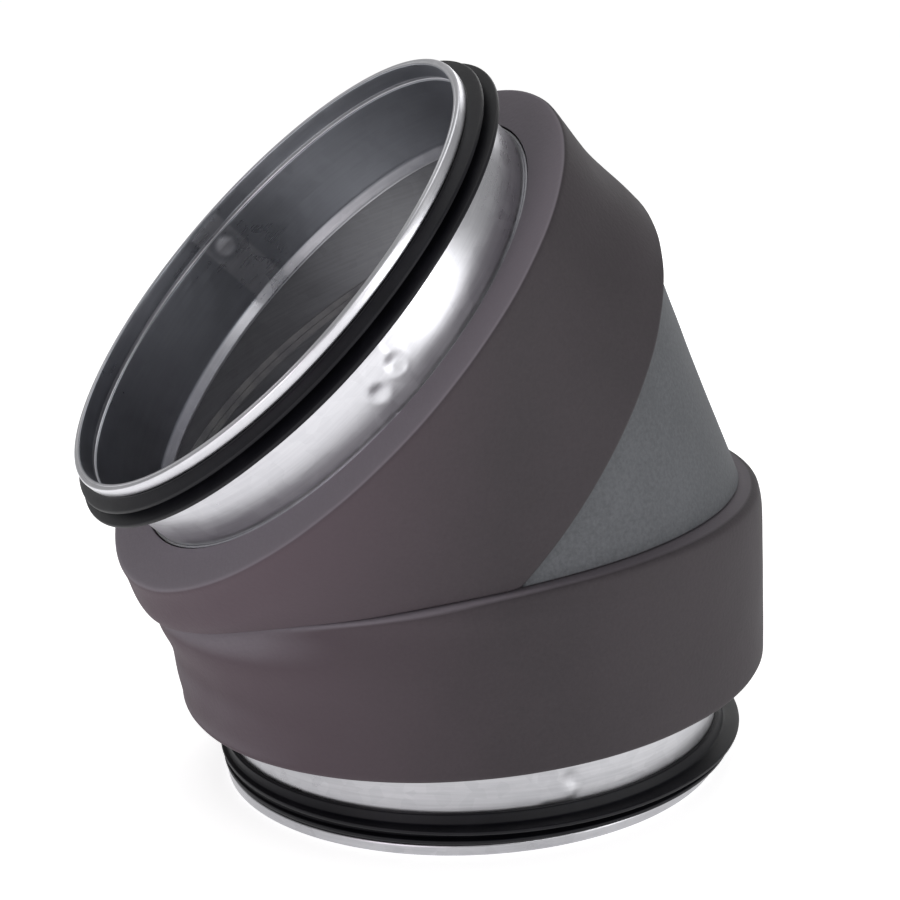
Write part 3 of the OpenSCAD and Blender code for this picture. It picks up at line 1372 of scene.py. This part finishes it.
@dataclass(frozen=True)
class Lamp:
    """A soft box that faces a point of the elbow."""

    name: str
    place: Colour
    size: tuple[float, float]
    watts: float
    tint: Colour = (1.0, 1.0, 1.0)


@dataclass
class Studio:
    """Floor, soft light and camera."""

    floor_tone: Colour = (0.86, 0.86, 0.86)
    floor_glow: float = 0.68
    floor_height: float = -0.0002
    floor_half: float = 6.0
    sky: float = 0.42
    backdrop: float = 1.02
    aim: Colour = (-0.003245, 0.0, 0.100857)
    azimuth: float = math.radians(-23.92)
    elevation: float = math.radians(14.154)
    roll: float = math.radians(-2.831)
    distance: float = 0.5593
    lens: float = 70.17
    sensor: float = 36.0

    def lamps(self) -> tuple[Lamp, ...]:
        """The soft boxes."""
        return (
            Lamp("key", (0.85, -1.00, 0.13), (0.95, 0.65), 6.4),
            Lamp("front", (0.13, -1.25, 0.62), (0.75, 0.40), 2.6),
            Lamp("fill", (-1.15, -0.75, 0.30), (0.7, 0.7), 4.0, (1.0, 0.90, 0.97)),
            Lamp("top", (0.1, 0.3, 1.3), (1.0, 1.0), 3.5),
            Lamp("back", (0.9, 0.9, 0.6), (0.7, 0.9), 3.5),
        )

    def add_level(self, name: str, height: float, tone: Colour, glow: float) -> bpy.types.Object:
        """Adds a wide level sheet to the studio.

        Args:
            name: Name of the sheet.
            height: Its height.
            tone: Its colour.
            glow: How strongly it gives light.

        Returns:
            The sheet.
        """
        mesh = bpy.data.meshes.new(name)
        half = self.floor_half
        corners = [(-half, -half), (half, -half), (half, half), (-half, half)]
        mesh.from_pydata([(x, y, height) for x, y in corners], [], [(0, 1, 2, 3)])
        level = add_piece(name, mesh)
        sheet = Sheet(name)
        cloud = sheet.grain(sheet.place(), 3.0)
        colour = sheet.mix(cloud, tone, tuple(c + 0.01 for c in tone))
        fixed = {
            "Roughness": 0.9,
            "Specular IOR Level": 0.2,
            "Emission Color": (1.0, 1.0, 1.0, 1.0),
            "Emission Strength": glow,
        }
        mesh.materials.append(sheet.dress({"Base Color": colour}, fixed))
        return level

    def build_floor(self) -> None:
        """Makes the plain pale floor."""
        self.add_level("floor", self.floor_height, self.floor_tone, self.floor_glow)

    def build_lamps(self) -> None:
        """Hangs the soft boxes."""
        for lamp in self.lamps():
            light = bpy.data.lights.new(lamp.name, "AREA")
            light.shape = "RECTANGLE"
            light.size, light.size_y = lamp.size
            light.energy = lamp.watts
            light.color = lamp.tint
            holder = bpy.data.objects.new(lamp.name, light)
            towards = Vector(self.aim) - Vector(lamp.place)
            holder.location = lamp.place
            holder.rotation_euler = towards.to_track_quat("-Z", "Y").to_euler()
            bpy.context.scene.collection.objects.link(holder)

    def build_sky(self) -> None:
        """Sets an even sky, white where the camera sees it directly."""
        world = bpy.data.worlds.new("studio")
        world.use_nodes = True
        nodes, links = world.node_tree.nodes, world.node_tree.links
        nodes.clear()
        path = nodes.new("ShaderNodeLightPath")
        even, white = nodes.new("ShaderNodeBackground"), nodes.new("ShaderNodeBackground")
        even.inputs["Strength"].default_value = self.sky
        even.inputs["Color"].default_value = (1.0, 1.0, 1.0, 1.0)
        white.inputs["Strength"].default_value = self.backdrop
        white.inputs["Color"].default_value = (1.0, 1.0, 1.0, 1.0)
        both, output = nodes.new("ShaderNodeMixShader"), nodes.new("ShaderNodeOutputWorld")
        links.new(path.outputs["Is Camera Ray"], both.inputs[0])
        links.new(even.outputs[0], both.inputs[1])
        links.new(white.outputs[0], both.inputs[2])
        links.new(both.outputs[0], output.inputs["Surface"])
        bpy.context.scene.world = world

    def build_camera(self) -> None:
        """Sets the camera from its bearing, height, roll and distance."""
        a, e, r = self.azimuth, self.elevation, self.roll
        back = Vector((math.sin(a) * math.cos(e), -math.cos(a) * math.cos(e), math.sin(e)))
        level = (-back).cross(Vector((0, 0, 1))).normalized()
        rise = level.cross(-back)
        right = level * math.cos(r) + rise * math.sin(r)
        up = rise * math.cos(r) - level * math.sin(r)
        camera = bpy.data.cameras.new("camera")
        camera.lens, camera.sensor_width, camera.sensor_fit = self.lens, self.sensor, "HORIZONTAL"
        camera.clip_start = 0.01
        holder = bpy.data.objects.new("camera", camera)
        turn = Matrix((right, up, back)).transposed().to_4x4()
        holder.matrix_world = Matrix.Translation(Vector(self.aim) + back * self.distance) @ turn
        bpy.context.scene.collection.objects.link(holder)
        bpy.context.scene.camera = holder

    def build(self) -> None:
        """Makes the whole studio."""
        bpy.context.scene.view_settings.view_transform = "Standard"
        self.build_floor()
        self.build_lamps()
        self.build_sky()
        self.build_camera()
        log.info("studio: floor, %d soft boxes and camera", len(self.lamps()))


# ---- Finishes ---------------------------------------------------------------------------------


def all_finishes(bend: Bend) -> dict[str, bpy.types.Material]:
    """Builds every finish.

    Args:
        bend: The bend, for the direction of the brushing.

    Returns:
        Materials by finish name.
    """
    # The upper collar's zinc, from grey to its lightest colour, is a lighter copy of the lower
    # collar's: painted light. inner is painted shade for the inside walls of both collars.
    upper_painted_light, grey, inner = (0.74, 0.74, 0.77), (0.54, 0.54, 0.57), (0.32, 0.33, 0.36)
    wall_r = bend.collar_ir + Collar.sheet_t / 2
    recipes = {
        "lower collar": Galvanised(
            "lower collar zinc", (0.36, 0.36, 0.38), (0.56, 0.56, 0.58), inner=inner, wall_r=wall_r
        ),
        "upper collar": Galvanised(
            "upper collar zinc", grey, upper_painted_light, turn=bend.angle, inner=inner, wall_r=wall_r,
            axis_x=bend.lower.length * math.sin(bend.angle),
        ),
        # Painted shade: the duct's zinc is a darker copy of the collars', for the inside of the
        # bend seen through the mouths.
        "duct": Galvanised(
            "duct zinc", (0.24, 0.24, 0.25), (0.36, 0.36, 0.38),
            turn=bend.angle / 2, smooth=0.34, dull=0.5,
        ),
        # The third colour of each foam is painted light, laid on towards -X.
        "band": CellularRubber(
            "band rubber", (0.020, 0.0160, 0.0190), (0.040, 0.0335, 0.0378), (0.088, 0.062, 0.076),
            cut=(0.165, 0.148, 0.168), cut_turn=bend.angle, painted_light_edge=-0.02,
        ),
        "gore": CellularRubber(
            "gore rubber", (0.058, 0.061, 0.067), (0.094, 0.098, 0.106), (0.08, 0.08, 0.085),
            speckle=1.2, painted_light_edge=-0.4,
        ),
        "seal": MouldedRubber("seal rubber"),
        "mastic": Smear("grey mastic", (0.15, 0.15, 0.16), (0.22, 0.22, 0.22)),
        "film": Smear("contact adhesive", (0.30, 0.26, 0.15), (0.42, 0.36, 0.22), 0.4),
        "glue": Smear("joint glue", (0.010, 0.010, 0.010), (0.024, 0.023, 0.022), 0.35),
    }
    return {name: recipe.material() for name, recipe in recipes.items()}


def main() -> None:
    """Builds the elbow's looks in order and reports each piece."""
    logging.basicConfig(level=logging.INFO, format="%(name)s %(message)s")
    bend = Bend.from_frame(centre_line_radius=160.0 * MM)
    Studio().build()
    finishes = all_finishes(bend)
    sweep = RingSweep()
    sheet_t = Collar.sheet_t
    for end, leg in ((End.LOWER, bend.lower), (End.UPPER, bend.upper)):
        steel = finishes[f"{end.value} collar"]
        Collar(end, leg, bend.collar_ir).build(sweep, steel)
        press = 4.0 * MM if end is End.LOWER else 0.0
        seal = LipSeal(
            end, leg, bend.collar_ir + sheet_t, press_azimuth=math.radians(170), press=press
        )
        seal.build(sweep, finishes["seal"])
    BendCore().dress(finishes)
    Wrap(bend, WrapSizes()).build(finishes["band"], finishes["gore"])


if __name__ == "__main__":
    main()
